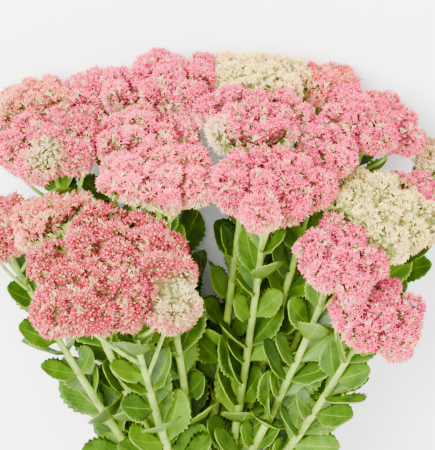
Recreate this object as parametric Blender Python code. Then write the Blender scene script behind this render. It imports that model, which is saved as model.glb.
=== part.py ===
"""Sedum 'Autumn Joy', one lifted clump lying on its side.

The crown lies near -Y, the flower heads near +Y, and the side that faces a viewer standing over it is +Z.
Every head is a flattened dome of lobes whose florets stand up from it. Every leafy stem is one body of
stem, flower stalks and toothed leaves. Places below are measured from the middle of the crown, in
millimetres, and the whole clump is centred on its own footprint at the end.
"""

import math
import random
from collections import Counter, namedtuple

import bmesh
import bpy
from mathutils import Matrix, Vector
from mathutils.bvhtree import BVHTree

MM = 0.001
GOLDEN = math.pi * (3 - math.sqrt(5))
GAP = 0.3 * MM
ALONG_STEMS = Vector((0, 1, 0))

# Crown, mm: half sizes and squareness of the woody lump, and how much of it the surface presses flat
CROWN_HALF = Vector((51, 27, 33))
CROWN_SQUARENESS = 3.5
CROWN_FLAT = 4.0

# Cut roots, mm: columns on each side of the middle, pitch where they leave the lump and where they end
ROOT_COLUMNS = 3
ROOT_PITCH, ROOT_END_PITCH = 11, 15
ROOT_RADIUS = 6.5
ROOT_END = 58
ROOT_HEIGHT = 13

# Seats, mm: the grid of stem feet in the crown, and the play around a stem in its hole
SEAT_PITCH = Vector((15, 0, 13.5))
SEAT_LOWEST = 11.0
SEAT_PLAY = 0.8
HOLE_LENGTH = 60

# Stems and flower stalks, mm. A stalk forks off at its drop below a head of 44 mm radius
STEM_RADIUS = 4.6
STEM_TOP_RADIUS = 2.6
STEM_BEND = 0.45
STEM_NECK = 12
STALK_RADIUS = 1.9
STALK_DROPS = (30, 40, 50, 60)
STALK_DROP_HEAD = 44
STALK_NECK = 7
STALK_SPREAD = 0.5
UPRIGHT_SHARE = 0.16
STEM_BERTH = 7.0

# Flower heads, shares of a head's radius, and the height of a floret
UNDERSIDE_DROP = 0.18
LOBE_SPREAD = 0.73
LOBE_RADIUS = 0.31
LOBE_LIFT = 0.22
CORE_ACROSS, CORE_TALL = 0.74, 0.30
FLORET_RISE = 3.8
FLORET_DIMPLE = 1.4
NEIGHBOUR_GAP = 0.6

# Corners of a head's mesh: some for every head and more for each mm of radius, spread down past its rim
CORNERS_LEAST = 20
CORNERS_PER_MM = 1.22
CORNERS_DOWN = math.radians(108)
CORNERS_EVENNESS = 0.56
UNDERSIDE_RING = 0.62

# Where each head's middle lies and its radius, mm; its seat on the crown as column and row; its colour
Spec = namedtuple("Spec", "place radius seat color")
HEADS = {
    "front_left": Spec((-72, 343, 210), 90, (-1, 3), "rose"),
    "front_right": Spec((115, 357, 200), 54, (0.4, 3), "pink"),
    "right_low": Spec((144, 306, 205), 54, (1.6, 3), "pink"),
    "front_center": Spec((55, 411, 172), 65, (1, 2), "deep_pink"),
    "left_low": Spec((-185, 347, 120), 52, (-2, 2), "rose"),
    "left_inner": Spec((-134, 375, 150), 46, (-1, 2), "peach"),
    "mid_left": Spec((-44, 414, 165), 62, (0, 2), "light_pink"),
    "cream_right": Spec((158, 374, 150), 62, (2, 2), "cream"),
    "left_mid": Spec((-141, 426, 106), 62, (-2.5, 1), "magenta_pink"),
    "center_left": Spec((-50, 432, 114), 58, (-1.5, 1), "light_pink"),
    "center": Spec((40, 449, 114), 60, (-0.5, 1), "pink"),
    "right_mid": Spec((105, 431, 122), 42, (0.5, 1), "pink"),
    "right_shoulder": Spec((147, 437, 82), 55, (1.5, 1), "deep_pink"),
    "right_edge": Spec((190, 371, 102), 46, (2.5, 1), "pink"),
    "left_top": Spec((-160, 443, 54), 48, (-2.5, 0), "peach"),
    "top_left": Spec((-105, 452, 36), 42, (-1.5, 0), "deep_pink"),
    "top_pink": Spec((-39, 462, 53), 63, (-0.5, 0), "pink"),
    "top_cream": Spec((49, 462, 51), 58, (0.5, 0), "cream"),
    "top_right": Spec((107, 459, 36), 42, (1.5, 0), "salmon"),
    "far_right": Spec((216, 391, 52), 36, (2.5, 0), "cream_pink"),
}

# Leaves: distance of each ring along the blade and its half width, as shares, so the rim is toothed.
# Lengths at the foot and the top of a stem in mm, and angles from the stem there in degrees
LEAF_RINGS = ((0.14, 0.34), (0.42, 0.92), (0.60, 1.00), (0.66, 0.80), (0.86, 0.62))
LEAF_LENGTH = (70, 44)
LEAF_PITCH = (62, 46)
LEAF_HALF_WIDTH = 0.31
LEAF_HALF_THICK = 1.3
LEAF_ROOT_THICK = 2.3
LEAF_CUP = 0.32
LEAF_CURL = 0.55
LEAF_CLEAR = 1.2
LEAF_ROOT_SHARE = 0.16

# Pairs of leaves: step between them for each row of seats, from the surface up, and the bare ends, in mm.
# A leaf without room is turned aside by these degrees, then made smaller and lifted
NODE_STEPS = (190, 160, 92, 60)
NODE_FIRST = 38
NODE_LAST = 46
ASIDE_TURNS = (0, 26, -26, 52, -52, 78)
SMALLER_AND_LIFTED = ((1.0, 0), (0.86, -12), (0.74, 12))

COLORS = {
    "rose": (0.62, 0.16, 0.20),
    "pink": (0.72, 0.20, 0.27),
    "deep_pink": (0.70, 0.12, 0.20),
    "magenta_pink": (0.66, 0.15, 0.25),
    "light_pink": (0.82, 0.38, 0.42),
    "salmon": (0.76, 0.28, 0.24),
    "peach": (0.80, 0.42, 0.32),
    "cream_pink": (0.82, 0.58, 0.46),
    "cream": (0.80, 0.74, 0.48),
    "leaf": (0.13, 0.29, 0.05),
    "root": (0.20, 0.12, 0.06),
}

# Ways to join pieces, best first: the solver, and how the many-sided faces that it leaves are split
JOINS = (("EXACT", "BEAUTY"), ("EXACT", "EAR_CLIP"), ("MANIFOLD", "BEAUTY"))

Head = namedtuple("Head", "name middle radius axis side across lobes planes")


def material(name):
    """A matte plant surface of one of the named colours."""
    found = bpy.data.materials.get(name)
    if found:
        return found
    made = bpy.data.materials.new(name)
    made.use_nodes = True
    shader = made.node_tree.nodes["Principled BSDF"]
    shader.inputs["Base Color"].default_value = (*COLORS[name], 1)
    shader.inputs["Roughness"].default_value = 0.55
    shader.inputs["Metallic"].default_value = 0.0
    return made


def new_collection(name):
    """An empty collection in the scene."""
    made = bpy.data.collections.new(name)
    bpy.context.scene.collection.children.link(made)
    return made


def object_from(bm, name, collection):
    """An object that holds the bmesh, with its faces pointing out."""
    bmesh.ops.recalc_face_normals(bm, faces=bm.faces)
    mesh = bpy.data.meshes.new(name)
    bm.to_mesh(mesh)
    bm.free()
    obj = bpy.data.objects.new(name, mesh)
    collection.objects.link(obj)
    return obj


def tube(name, points, radii, collection):
    """A six-sided tapered tube through the points, as a mesh with welded caps."""
    curve = bpy.data.curves.new(name, "CURVE")
    curve.dimensions = "3D"
    curve.bevel_depth = 1.0
    curve.bevel_resolution = 1
    curve.use_fill_caps = True
    spline = curve.splines.new("POLY")
    spline.points.add(len(points) - 1)
    for point, place, radius in zip(spline.points, points, radii):
        point.co = (*place, 1)
        point.radius = radius
    guide = bpy.data.objects.new(name + "_line", curve)
    collection.objects.link(guide)
    bpy.context.view_layer.update()
    evaluated = guide.evaluated_get(bpy.context.evaluated_depsgraph_get())
    bm = bmesh.new()
    bm.from_mesh(bpy.data.meshes.new_from_object(evaluated))
    bmesh.ops.remove_doubles(bm, verts=bm.verts, dist=0.01 * MM)
    bpy.data.objects.remove(guide)
    return object_from(bm, name, collection)


def seat_of(spec):
    """The point inside the crown where a stem starts."""
    column, row = spec.seat
    return Vector((column * SEAT_PITCH.x, CROWN_HALF.y * 0.45, SEAT_LOWEST + row * SEAT_PITCH.z)) * MM


def axis_of(spec):
    """The way a head faces: along its stem, turned partly back to the way the plant grew."""
    lean = (Vector(spec.place) * MM - seat_of(spec)).normalized()
    return lean.lerp(ALONG_STEMS, UPRIGHT_SHARE).normalized()


def lobes_of(name, radius):
    """Centres, from the head's middle, and radii of the round clusters that make up its dome."""
    draw = random.Random(name)
    count = round(5 + radius / (8 * MM))
    turn = draw.uniform(0, math.tau)
    found = []
    for k in range(count):
        reach = LOBE_SPREAD * radius * math.sqrt((k + 0.3) / (count - 0.7))
        angle = turn + k * GOLDEN + draw.uniform(-0.18, 0.18)
        lift = LOBE_LIFT * radius * (1 - (reach / radius) ** 2) + draw.uniform(-0.05, 0.06) * radius
        size = LOBE_RADIUS * radius * draw.uniform(0.88, 1.14)
        found.append((Vector((reach * math.cos(angle), reach * math.sin(angle), lift)), size))
    return found


def all_heads():
    """Every head with its frame, its lobes and the planes that it stays behind."""
    found = []
    for name, spec in HEADS.items():
        axis = axis_of(spec)
        middle = Vector(spec.place) * MM
        radius = spec.radius * MM
        across = axis.cross(Vector((1, 0, 0))).normalized()
        side = across.cross(axis)
        planes = [
            (middle - axis * UNDERSIDE_DROP * radius, -axis),
            (Vector((0, 0, 0)), Vector((0, 0, -1))),
        ]
        found.append(Head(name, middle, radius, axis, side, across, lobes_of(name, radius), planes))
    for head in found:
        for other in found:
            way = other.middle - head.middle
            if other is head or way.length > 1.2 * (head.radius + other.radius):
                continue
            share = (way.length_squared + head.radius**2 - other.radius**2) / (2 * way.length)
            direction = way.normalized()
            edge = head.middle + direction * (share - NEIGHBOUR_GAP * MM / 2)
            head.planes.append((edge, direction))
    routes = {head.name: stem_routes(head) for head in found}
    for head in found:
        passing = [points for name, lines in routes.items() if name != head.name for points, _ in lines]
        for points in passing:
            near = nearest_on(points, head.middle)
            way = near - head.middle
            if way.length < 1.1 * head.radius:
                direction = way.normalized()
                head.planes.append((near - direction * STEM_BERTH * MM, direction))
    return found


def nearest_on(points, place):
    """The point of a line of points that lies nearest to a place."""
    found = []
    for a, b in zip(points, points[1:]):
        share = max(0.0, min(1.0, (place - a).dot(b - a) / (b - a).length_squared))
        found.append(a.lerp(b, share))
    return min(found, key=lambda point: (point - place).length)


def plane_reach(head, way):
    """How far a ray from the head's middle runs before it meets one of the head's planes."""
    limits = [
        (point - head.middle).dot(normal) / way.dot(normal)
        for point, normal in head.planes
        if way.dot(normal) > 1e-6
    ]
    return min(limits, default=math.inf)


def lobe_reach(head, way):
    """How far the same ray runs before it leaves the lobes and the core between them."""
    local = Vector((way.dot(head.side), way.dot(head.across), way.dot(head.axis)))
    flat = (local.x**2 + local.y**2) / CORE_ACROSS**2 + local.z**2 / CORE_TALL**2
    reach = head.radius / math.sqrt(flat)
    for centre, size in head.lobes:
        near = local.dot(centre)
        inside = near**2 - centre.length_squared + size**2
        if inside > 0:
            reach = max(reach, near + math.sqrt(inside))
    return reach


def head_directions(head):
    """Directions from the head's middle: an even spiral over the dome, then a ring under its rim."""
    count = round(CORNERS_LEAST + CORNERS_PER_MM * head.radius / MM)
    for k in range(count):
        down = CORNERS_DOWN * ((k + 0.5) / count) ** CORNERS_EVENNESS
        angle = k * GOLDEN
        reach, rise = math.sin(down), (LOBE_LIFT + LOBE_RADIUS) * math.cos(down)
        yield Vector((reach * math.cos(angle), reach * math.sin(angle), rise))
    ring = round(5 + head.radius / (14 * MM))
    for k in range(ring):
        angle = math.tau * k / ring
        yield Vector((UNDERSIDE_RING * math.cos(angle), UNDERSIDE_RING * math.sin(angle), -UNDERSIDE_DROP))
    yield Vector((0, 0, -1))


def head_solid(head, collection):
    """One dome: the hull of its directions, each face on the dome raised to a pointed floret."""
    draw = random.Random(head.name + " florets")
    turned = Matrix((head.side, head.across, head.axis)).transposed()
    bm = bmesh.new()
    for direction in head_directions(head):
        bm.verts.new(turned @ direction.normalized())
    bmesh.ops.convex_hull(bm, input=bm.verts)
    florets = []
    for face in bm.faces:
        way = face.calc_center_median().normalized()
        free = lobe_reach(head, way) + FLORET_RISE * MM < plane_reach(head, way)
        if free and way.dot(head.axis) > -0.05:
            florets.append(face)
    corners = set(bm.verts)
    bmesh.ops.poke(bm, faces=florets)
    for vert in bm.verts:
        way = vert.co.normalized()
        rise = -FLORET_DIMPLE if vert in corners else FLORET_RISE * draw.uniform(0.85, 1.25)
        vert.co = head.middle + way * min(lobe_reach(head, way) + rise * MM, plane_reach(head, way))
    made = object_from(bm, "head_" + head.name, collection)
    made.data.materials.append(material(HEADS[head.name].color))
    return made


def stem_line(head):
    """Start, bend and end of a stem: it ends square under its head."""
    spec = HEADS[head.name]
    start = seat_of(spec)
    end = head.middle - head.axis * (UNDERSIDE_DROP * head.radius + GAP)
    bend = end - head.axis * STEM_BEND * (end - start).length
    return start, bend, end


def on_stem(line, share):
    """The point at a share of the stem's length, and the way that the stem runs there."""
    start, bend, end = line
    point = start * (1 - share) ** 2 + bend * 2 * share * (1 - share) + end * share**2
    way = (bend - start) * (1 - share) + (end - bend) * share
    return point, way.normalized()


def stem_length(line):
    """The length of the stem along its bend."""
    points = [on_stem(line, k / 24)[0] for k in range(25)]
    return sum((b - a).length for a, b in zip(points, points[1:]))


def stem_routes(head):
    """Points and radii of the stem, and of the stalks that leave it one after another for the outer lobes."""
    line = stem_line(head)
    length = stem_length(line)
    shares = (0, 0.25, 0.5, 0.75)
    points = [on_stem(line, share)[0] for share in shares]
    radii = [(STEM_RADIUS + (STEM_TOP_RADIUS - STEM_RADIUS) * share**1.5) * MM for share in shares]
    points += [line[2] - head.axis * STEM_NECK * MM, line[2]]
    radii += [STEM_TOP_RADIUS * MM] * 2
    found = [(points, radii)]
    stalks = 2 + round(head.radius / (60 * MM))
    turn = random.Random(head.name + " stalks").uniform(0, math.tau)
    for k, drop in enumerate(STALK_DROPS[:stalks]):
        angle = turn + k * GOLDEN
        out = head.side * math.cos(angle) + head.across * math.sin(angle)
        spread = min(STALK_SPREAD * head.radius, plane_reach(head, out) - 3 * STALK_RADIUS * MM)
        end = line[2] + out * spread
        elbow = end - head.axis * STALK_NECK * MM
        fork = on_stem(line, 1 - drop * head.radius / (STALK_DROP_HEAD * length))[0]
        found.append(([fork, elbow, end], [STALK_RADIUS * MM] * 3))
    return found


def stem_pieces(head, collection):
    """The stem and its stalks as overlapping tubes."""
    return [tube("stem_" + head.name, *route, collection) for route in stem_routes(head)]


def leaf_body(line, site, grow=0.0, start=0.0):
    """The bmesh of one cupped, toothed, fleshy leaf. Grown, it is the room that the leaf asks for."""
    share, turn, pitch, size = site
    root, way = on_stem(line, share)
    right = (Vector((1, 0, 0)) - way * way.x).normalized()
    front = right.cross(way)
    out = right * math.cos(math.radians(turn)) + front * math.sin(math.radians(turn))
    blade = way * math.cos(math.radians(pitch)) + out * math.sin(math.radians(pitch))
    face = way * math.sin(math.radians(pitch)) - out * math.cos(math.radians(pitch))
    wide = blade.cross(face)
    rings = ((0.0, 0.0), *LEAF_RINGS, (1.0, 0.0))
    bm = bmesh.new()
    bmesh.ops.create_uvsphere(bm, u_segments=4, v_segments=len(rings) - 1, radius=1)
    split_alike(bm)
    for vert in bm.verts:
        ring = round(math.acos(max(-1, min(1, vert.co.z))) / math.pi * (len(rings) - 1))
        along, half = rings[ring]
        around = Vector((vert.co.x, vert.co.y))
        if half:
            around.normalize()
        along = start + along * (1 + grow / size - start)
        bow = LEAF_CURL * along
        spine = root + blade * size * math.sin(bow) / LEAF_CURL
        spine += face * size * (1 - math.cos(bow)) / LEAF_CURL
        normal = face * math.cos(bow) - blade * math.sin(bow)
        thick = LEAF_ROOT_THICK + (LEAF_HALF_THICK - LEAF_ROOT_THICK) * min(1, along * 2.5)
        edge = around.x * (half * LEAF_HALF_WIDTH * size + grow)
        cup = LEAF_CUP * abs(edge) * half
        vert.co = spine + wide * edge + normal * (cup + around.y * (thick * MM + grow))
    return bm


def split_alike(ball):
    """Splits a ball's four-sided faces from the rim of the leaf to be towards its midrib, above and below."""
    for face in [face for face in ball.faces if len(face.verts) == 4]:
        rim = [vert for vert in face.verts if abs(vert.co.y) < 1e-6]
        midrib = [vert for vert in face.verts if vert not in rim]
        ends = [max(rim, key=lambda vert: vert.co.z), min(midrib, key=lambda vert: vert.co.z)]
        bmesh.ops.connect_verts(ball, verts=ends)


def leaf_sites(head, line):
    """For each leaf on a stem, the ways that it may stand, best first: share, turn, pitch and size."""
    draw = random.Random(head.name + " leaves")
    length = stem_length(line)
    distance = NODE_FIRST * MM
    turn = draw.uniform(0, 180)
    while distance < length - NODE_LAST * MM:
        share = distance / length
        size = (LEAF_LENGTH[0] + (LEAF_LENGTH[1] - LEAF_LENGTH[0]) * share) * draw.uniform(0.88, 1.1) * MM
        pitch = LEAF_PITCH[0] + (LEAF_PITCH[1] - LEAF_PITCH[0]) * share + draw.uniform(-7, 7)
        for side in (0, 180):
            base = turn + side + draw.uniform(-12, 12)
            yield [
                (share, base + aside, pitch + lift, size * shrink)
                for shrink, lift in SMALLER_AND_LIFTED
                for aside in ASIDE_TURNS
            ]
        distance += NODE_STEPS[HEADS[head.name].seat[1]] * MM * draw.uniform(0.9, 1.1)
        turn += 90 + draw.uniform(-14, 14)


def tree_of(bm):
    """The surface of a bmesh, for touching tests. The bmesh is freed."""
    found = BVHTree.FromBMesh(bm)
    bm.free()
    return found


def surface_of(obj):
    """The surface of an object, for the same tests."""
    bm = bmesh.new()
    bm.from_mesh(obj.data)
    bmesh.ops.triangulate(bm, faces=bm.faces)
    return tree_of(bm)


def leaves_of(head, taken, helpers):
    """The leaves that find room on a stem, and their surfaces. Each stands the first way that touches nothing."""
    line = stem_line(head)
    leaves, surfaces = [], []
    for ways in leaf_sites(head, line):
        for site in ways:
            room = leaf_body(line, site, LEAF_CLEAR * MM)
            lowest = min(vert.co.z for vert in room.verts)
            tree, blade = tree_of(room), tree_of(leaf_body(line, site, LEAF_CLEAR * MM, LEAF_ROOT_SHARE))
            touches = any(tree.overlap(other) for other in taken)
            if lowest > MM and not touches and not any(blade.overlap(other) for other in surfaces):
                surfaces.append(tree_of(leaf_body(line, site)))
                leaves.append(object_from(leaf_body(line, site), "leaf", helpers))
                break
    return leaves, surfaces


def fill_pockets(mesh, ngon_method):
    """Splits a joined body into triangles, and fills any pocket that its pieces seal in between them."""
    bm = bmesh.new()
    bm.from_mesh(mesh)
    bmesh.ops.triangulate(bm, faces=bm.faces, ngon_method=ngon_method)
    waiting = set(bm.faces)
    while waiting:
        skin, edge = set(), {waiting.pop()}
        while edge:
            skin |= edge
            edge = {near for face in edge for side in face.edges for near in side.link_faces} - skin
        waiting -= skin
        volume = 0
        for face in skin:
            first, *rest = [vert.co for vert in face.verts]
            volume += sum(first.dot(a.cross(b)) for a, b in zip(rest, rest[1:]))
        if volume < 0:
            bmesh.ops.delete(bm, geom=list({vert for face in skin for vert in face.verts}))
    bm.to_mesh(mesh)
    bm.free()


def is_manifold(mesh):
    """Whether exactly two triangles meet between every pair of neighbouring corners."""
    meetings = Counter(pair for polygon in mesh.polygons for pair in polygon.edge_keys)
    return set(meetings.values()) == {2}


def fuse(name, pieces, collection, color):
    """Joins overlapping closed pieces into one body, in the first of the ways that leaves it sound."""
    group = bpy.data.collections.new(name + "_pieces")
    bpy.context.scene.collection.children.link(group)
    trunk, *others = pieces
    for piece in others:
        for holder in list(piece.users_collection):
            holder.objects.unlink(piece)
        group.objects.link(piece)
    modifier = trunk.modifiers.new("grown_together", "BOOLEAN")
    modifier.operation = "UNION"
    modifier.operand_type = "COLLECTION"
    modifier.collection = group
    for solver, ngon_method in JOINS:
        modifier.solver = solver
        bpy.context.view_layer.update()
        evaluated = trunk.evaluated_get(bpy.context.evaluated_depsgraph_get())
        mesh = bpy.data.meshes.new_from_object(evaluated)
        fill_pockets(mesh, ngon_method)
        if is_manifold(mesh):
            break
    made = bpy.data.objects.new(name, mesh)
    collection.objects.link(made)
    for piece in pieces:
        bpy.data.objects.remove(piece)
    bpy.data.collections.remove(group)
    made.data.materials.clear()
    made.data.materials.append(material(color))
    return made


def knobbly(point):
    """A point of the crown's lump, from a point of a ball: boxy, knobbed alike on both sides, flat below."""
    squared = sum(abs(value) ** CROWN_SQUARENESS for value in point) ** (1 / CROWN_SQUARENESS)
    across, along, up = abs(point.x), point.y, point.z
    wave = math.sin(across * 9 + 1.3) * math.sin(along * 7 + up * 5) + 0.6 * math.sin(up * 11 + across * 4)
    swell = (1 - 0.04 * (1 + wave) * (1 - across**4)) / squared
    place = Vector([share * half * swell for share, half in zip(point, CROWN_HALF)])
    place.z = max(0.0, place.z + CROWN_HALF.z - CROWN_FLAT)
    return place * MM


def crown(heads, collection, cutters, helpers):
    """The woody rootstock: a lump with short cut roots behind it and a plain hole for every stem."""
    bm = bmesh.new()
    bmesh.ops.create_icosphere(bm, subdivisions=2, radius=1)
    for vert in bm.verts:
        vert.co = knobbly(vert.co)
    lump = object_from(bm, "lump", helpers)
    roots = [lump]
    for column in range(-ROOT_COLUMNS, ROOT_COLUMNS + 1):
        height = ROOT_HEIGHT + 9 * (column % 2)
        start = Vector((column * ROOT_PITCH, -6, height + 3 * abs(column)))
        end = Vector((column * ROOT_END_PITCH, 4 * abs(column) - ROOT_END, height))
        radius = ROOT_RADIUS - 0.8 * abs(column)
        roots.append(tube("root", [start * MM, end * MM], [radius * MM, radius * 0.7 * MM], helpers))
    made = fuse("crown", roots, collection, "root")
    for head in heads:
        start, way = on_stem(stem_line(head), 0)
        points = [start - way * GAP, start + way * HOLE_LENGTH * MM]
        hole = tube("hole_" + head.name, points, [(STEM_RADIUS + SEAT_PLAY) * MM] * 2, cutters)
        hole.hide_render = True
        hole.display_type = "WIRE"
    modifier = made.modifiers.new("stem_holes", "BOOLEAN")
    modifier.operation = "DIFFERENCE"
    modifier.operand_type = "COLLECTION"
    modifier.collection = cutters
    modifier.solver = "EXACT"
    return made


def centre_on_footprint(objects, movers):
    """Puts the origin at the bottom centre of the clump."""
    bpy.context.view_layer.update()
    graph = bpy.context.evaluated_depsgraph_get()
    corners = []
    for obj in objects:
        evaluated = obj.evaluated_get(graph)
        corners += [evaluated.matrix_world @ vert.co for vert in evaluated.data.vertices]
    low = Vector([min(corner[k] for corner in corners) for k in range(3)])
    high = Vector([max(corner[k] for corner in corners) for k in range(3)])
    for mover in movers:
        mover.location -= Vector(((low.x + high.x) / 2, (low.y + high.y) / 2, low.z))


def main():
    """Builds every node, fits the leaves in between, and centres the clump."""
    for obj in list(bpy.data.objects):
        bpy.data.objects.remove(obj)
    clump = new_collection("sedum_autumn_joy")
    cutters = new_collection("cutters")
    helpers = new_collection("helpers")
    heads = all_heads()
    domes = [head_solid(head, clump) for head in heads]
    root = crown(heads, clump, cutters, helpers)
    stems = {head.name: stem_pieces(head, helpers) for head in heads}
    taken = [surface_of(obj) for obj in [root, *domes]]
    green = {name: [surface_of(piece) for piece in pieces] for name, pieces in stems.items()}
    nodes = [root, *domes]
    for head in heads:
        others = [tree for name, trees in green.items() if name != head.name for tree in trees]
        leaves, surfaces = leaves_of(head, taken + others, helpers)
        taken += surfaces
        nodes.append(fuse("leafy_stem_" + head.name, stems[head.name] + leaves, clump, "leaf"))
    centre_on_footprint(nodes, [*nodes, *cutters.objects])


main()
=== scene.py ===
"""Sedum 'Autumn Joy', one lifted clump lying on its side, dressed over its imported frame.

Every flower head becomes hundreds of small star florets over a bed of calyces, every leafy stem gets its
fleshy toothed leaves, and the crown its bark and fine roots. Forms follow the same rules as the solids.
"""

import functools
import math
import random
from collections import namedtuple

import bmesh
import bpy
import numpy as np
from bpy.props import FloatProperty, FloatVectorProperty, IntProperty, PointerProperty
from mathutils import Matrix, Vector, noise
from mathutils.bvhtree import BVHTree
from mathutils.kdtree import KDTree


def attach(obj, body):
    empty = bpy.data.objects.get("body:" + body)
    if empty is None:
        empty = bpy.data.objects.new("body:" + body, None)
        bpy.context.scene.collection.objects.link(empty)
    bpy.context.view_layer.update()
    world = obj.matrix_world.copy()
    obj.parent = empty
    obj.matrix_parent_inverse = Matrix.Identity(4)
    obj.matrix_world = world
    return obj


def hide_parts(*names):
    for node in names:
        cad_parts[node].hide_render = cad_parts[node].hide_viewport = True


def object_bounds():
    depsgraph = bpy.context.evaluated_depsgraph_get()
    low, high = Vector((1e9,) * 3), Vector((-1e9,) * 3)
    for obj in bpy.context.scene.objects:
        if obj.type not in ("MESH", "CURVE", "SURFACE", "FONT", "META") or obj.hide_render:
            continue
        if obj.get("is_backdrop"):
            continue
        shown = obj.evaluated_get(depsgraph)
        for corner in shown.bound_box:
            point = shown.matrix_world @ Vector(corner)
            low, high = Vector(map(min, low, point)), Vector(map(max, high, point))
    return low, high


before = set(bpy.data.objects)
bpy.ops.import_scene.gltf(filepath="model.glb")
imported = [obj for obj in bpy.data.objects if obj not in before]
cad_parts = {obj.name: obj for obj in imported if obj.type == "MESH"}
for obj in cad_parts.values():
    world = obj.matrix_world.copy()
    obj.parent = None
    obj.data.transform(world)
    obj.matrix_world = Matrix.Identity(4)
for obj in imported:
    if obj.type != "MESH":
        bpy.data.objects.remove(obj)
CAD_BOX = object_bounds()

bl_info = {
    "name": "Sedum clump",
    "version": (1, 0, 0),
    "blender": (4, 5, 0),
    "location": "View3D > Sidebar > Sedum",
    "description": "Dresses a lifted clump of autumn sedum with florets, toothed leaves and bark",
    "category": "Object",
}

MM = 0.001
GOLDEN = math.pi * (3 - math.sqrt(5))
GAP = 0.3 * MM
ALONG_STEMS = Vector((0, 1, 0))

# From the middle of the crown, where the places below are measured, to the middle of the footprint
SHIFT = Vector((-3.502, -220.450, 0)) * MM

# The solids' own sizes, mm and shares, which the dressed pieces repeat
SEAT_ALONG = 12.15
SEAT_PITCH = (15, 13.5)
SEAT_LOWEST = 11.0
STEM_RADIUS = 4.6
STEM_TOP_RADIUS = 2.6
STEM_BEND = 0.45
STEM_NECK = 12
STALK_RADIUS = 1.9
STALK_DROPS = (30, 40, 50, 60)
STALK_DROP_HEAD = 44
STALK_NECK = 7
STALK_SPREAD = 0.5
UPRIGHT_SHARE = 0.16
STEM_BERTH = 7.0
STEM_REACH = 1.1
UNDERSIDE_DROP = 0.18
LOBE_SPREAD = 0.73
LOBE_RADIUS = 0.31
LOBE_LIFT = 0.22
CORE_ACROSS, CORE_TALL = 0.74, 0.30
NEIGHBOUR_GAP = 0.6
NEIGHBOUR_REACH = 1.2
LEAF_LENGTH = (70, 44)
LEAF_PITCH = (62, 46)
LEAF_HALF_WIDTH = 0.31
LEAF_CUP = 0.32
LEAF_CURL = 0.55
NODE_STEPS = (190, 160, 92, 60)
NODE_FIRST = 38
ASIDE_TURNS = (0, 26, -26, 52, -52, 78)

# A dressed lobe: its ball and its round clusters as shares of the solid's lobe, and the folds between lobes
LOBE_SHARE, CORE_SHARE = 0.80, 0.88
CLUSTERS = 7
CLUSTER_OUT = 0.62
CLUSTER_SIZES = (0.40, 0.50)
CLUSTER_SPREAD = 0.5
FOLD_DEPTH, FOLD_WIDTH = 0.34, 0.34

# Florets run round the dome to this angle from its top, degrees, and face as its surface does over this step
DOME_EDGE = 114
TRIES_A_FLORET = 30
FACING_STEP = 0.045

# The bed lies this far below them, give or take its pimples, mm, and none stands farther than this from it.
# None is set deep in a neighbour, and those that are pressed or sunk between the others are painted darker,
# as painted shade
BED_DEPTH = 3.8 * MM
PIMPLES = (-1.2, 0.8)
FLORET_STAND = 8.3 * MM
PRESSED_REACH = 5 * MM
HIDDEN_DEPTH = 15 * MM
HOLLOW_REACH, HOLLOW_DEPTH = 12 * MM, 1.2 * MM

# The values on a floret's corners: the share of the way to its petals' tips, its tint, how sunk (the strength
# of its painted shade) and how open
FLORET_VALUES = ("along", "tint", "hollow", "bloom")

# Where each piece's corners stop above the floor
LEAF_FLOOR, FLORET_FLOOR, BED_FLOOR = 0.25 * MM, 0.2 * MM, 0.4 * MM

# Where each head's middle lies and its radius, mm; its seat on the crown as column and row; its colour; the
# share of its florets that opened; how creamy its lower rim is; and how far its petals blush beyond the rest
Spec = namedtuple("Spec", "place radius seat color opened creamy blush", defaults=(0.0,))
HEADS = {
    "front_left": Spec((-72, 343, 210), 90, (-1, 3), "rose", 0.75, 0.25),
    "front_right": Spec((115, 357, 200), 54, (0.4, 3), "pink", 0.80, 0.25),
    "right_low": Spec((144, 306, 205), 54, (1.6, 3), "pink", 0.80, 0.20),
    "front_center": Spec((55, 411, 172), 65, (1, 2), "deep_pink", 0.80, 0.35),
    "left_low": Spec((-185, 347, 120), 52, (-2, 2), "rose", 0.70, 0.25),
    "left_inner": Spec((-134, 375, 150), 46, (-1, 2), "peach", 0.60, 0.55),
    "mid_left": Spec((-44, 414, 165), 62, (0, 2), "light_pink", 0.75, 0.60),
    "cream_right": Spec((158, 374, 150), 62, (2, 2), "cream", 0.35, 0.50),
    "left_mid": Spec((-141, 426, 106), 62, (-2.5, 1), "magenta_pink", 0.75, 0.20),
    "center_left": Spec((-50, 432, 114), 58, (-1.5, 1), "light_pink", 0.70, 0.60),
    "center": Spec((40, 449, 114), 60, (-0.5, 1), "pink", 0.75, 0.90),
    "right_mid": Spec((105, 431, 122), 42, (0.5, 1), "pink", 0.75, 0.30),
    "right_shoulder": Spec((147, 437, 82), 55, (1.5, 1), "deep_pink", 0.80, 0.15),
    "right_edge": Spec((190, 371, 102), 46, (2.5, 1), "pink", 0.70, 0.40),
    "left_top": Spec((-160, 443, 54), 48, (-2.5, 0), "peach", 0.65, 0.50),
    "top_left": Spec((-105, 452, 36), 42, (-1.5, 0), "deep_pink", 0.70, 0.30),
    "top_pink": Spec((-39, 462, 53), 63, (-0.5, 0), "pink", 0.80, 0.35),
    "top_cream": Spec((49, 462, 51), 58, (0.5, 0), "cream", 0.50, 0.35, 0.7),
    "top_right": Spec((107, 459, 36), 42, (1.5, 0), "salmon", 0.70, 0.40),
    "far_right": Spec((216, 391, 52), 36, (2.5, 0), "cream_pink", 0.45, 0.70),
}

# Where a head is still young, mm, and how far that reaches, as seen from above and in front
YOUNG = {
    "front_left": ((-20, 335, 225), 21),
    "center": ((5, 452, 150), 19),
    "front_center": ((60, 372, 190), 17),
    "left_mid": ((-140, 425, 120), 17),
}
FROM_ABOVE = Vector((0, 0.37, 0.93))

Head = namedtuple("Head", "name middle radius axis side across lobes planes")

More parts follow.
